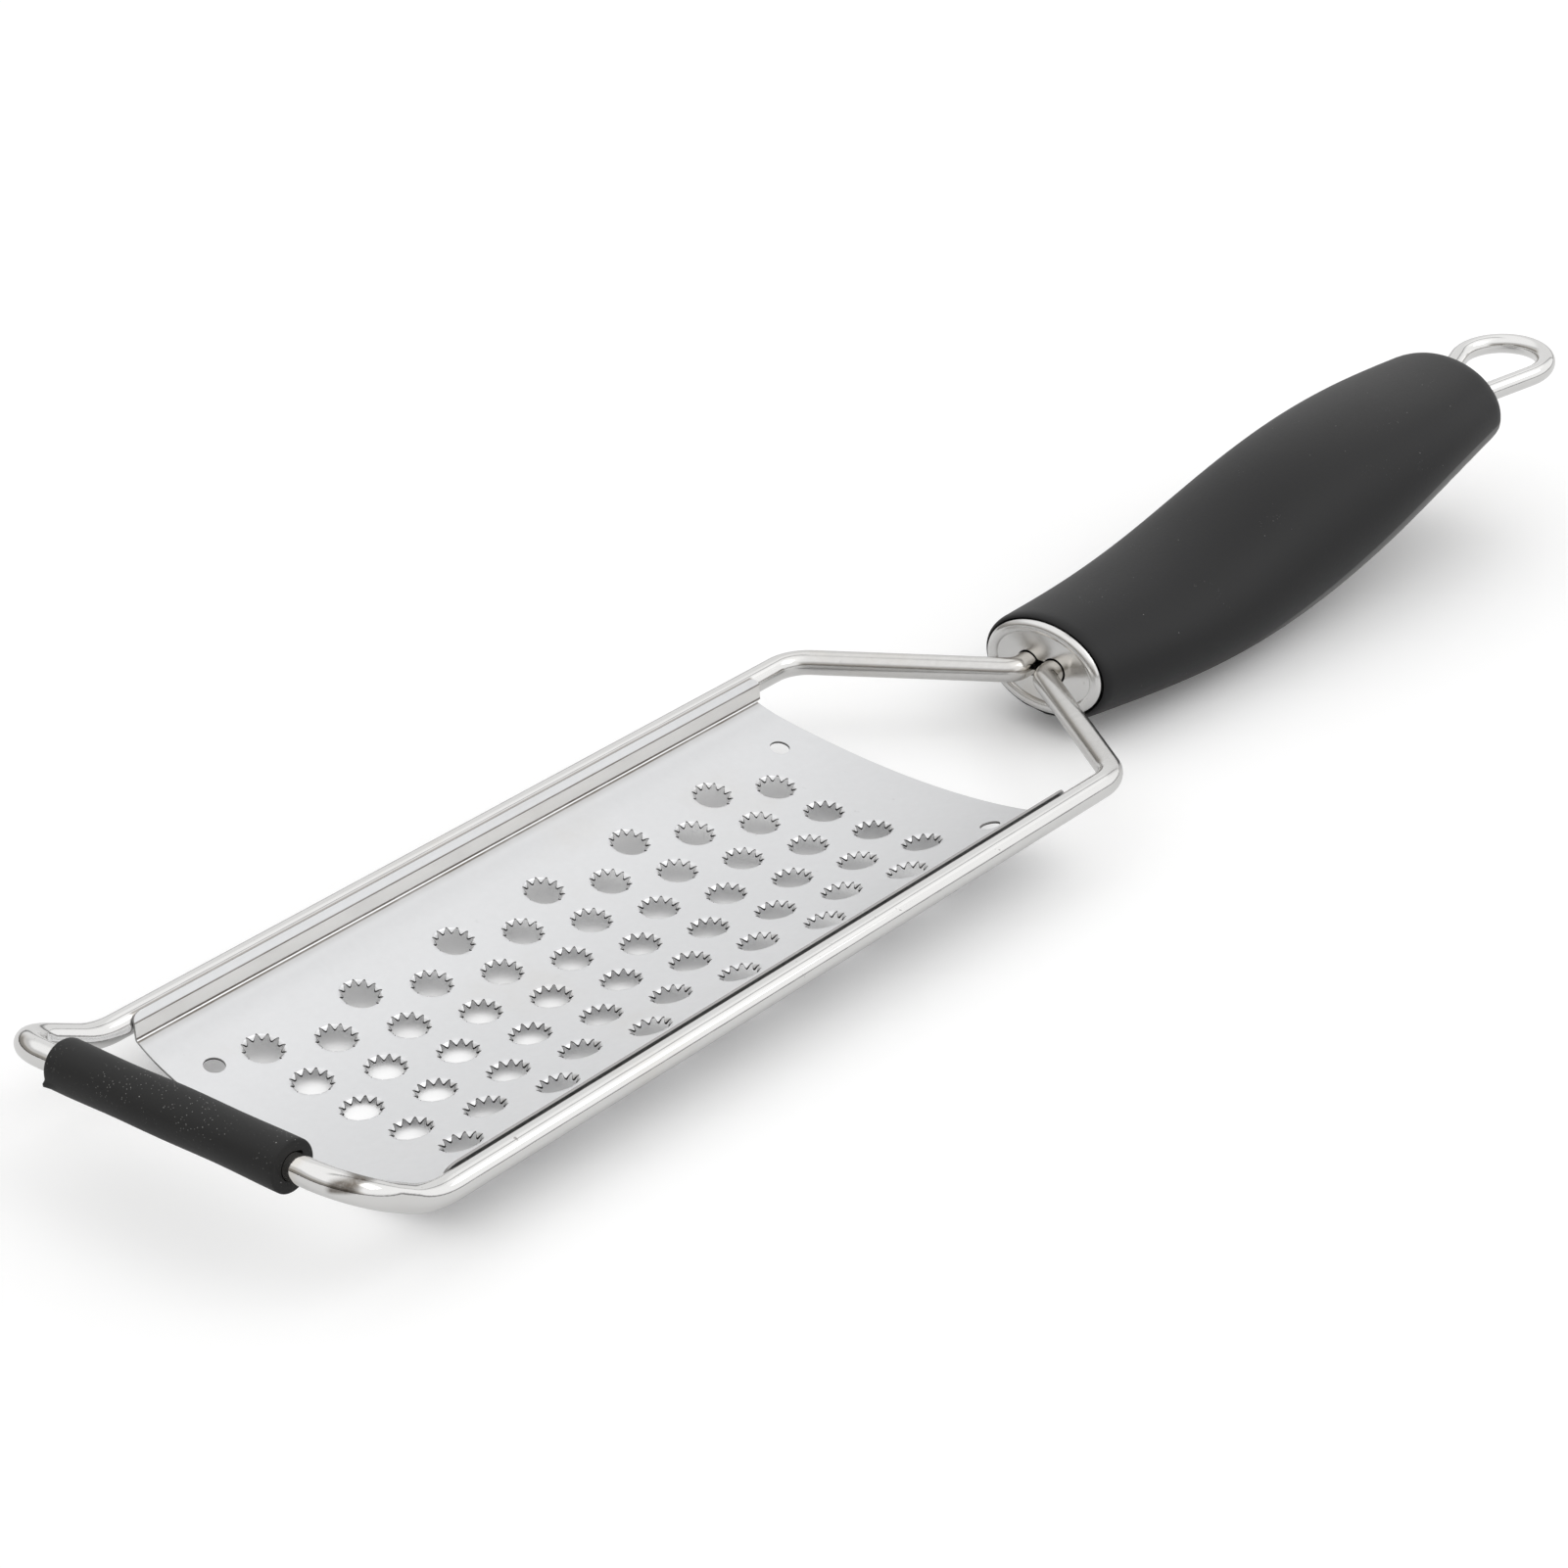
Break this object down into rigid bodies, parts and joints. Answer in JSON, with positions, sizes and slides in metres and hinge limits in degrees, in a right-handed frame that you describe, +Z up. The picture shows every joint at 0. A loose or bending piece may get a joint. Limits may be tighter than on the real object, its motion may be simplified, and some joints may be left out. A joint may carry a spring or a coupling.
{
  "type": "cheese grater",
  "caption": "Flat hand grater with an arched punched steel plate in a bent wire frame, a rubber foot on its nose and a rubber grip with a wire hanging loop.",
  "frame": {"origin": "Under the middle of the grater, on the surface that it lies on.", "axes": "+X runs from the nose to the handle, +Z is up, and the frame's rails lie to both sides along Y."},
  "size_m": [0.3308, 0.0692, 0.0306],
  "materials": {
    "polished_steel": "polished stainless wire",
    "satin_steel": "satin rolled sheet",
    "pressed_steel": "pressed sheet, lightly polished",
    "grip_rubber": "soft black rubber, satin",
    "sleeve_rubber": "black rubber, matt",
    "core_plastic": "moulded plastic"
  },
  "bodies": {
    "root": {"wire_frame": "polished_steel", "grater_plate": "satin_steel", "foot_sleeve": "sleeve_rubber", "front_ferrule": "pressed_steel", "grip": "grip_rubber", "handle_core": "core_plastic", "rear_cap": "pressed_steel", "hang_loop": "polished_steel"}
  },
  "joints": []
}
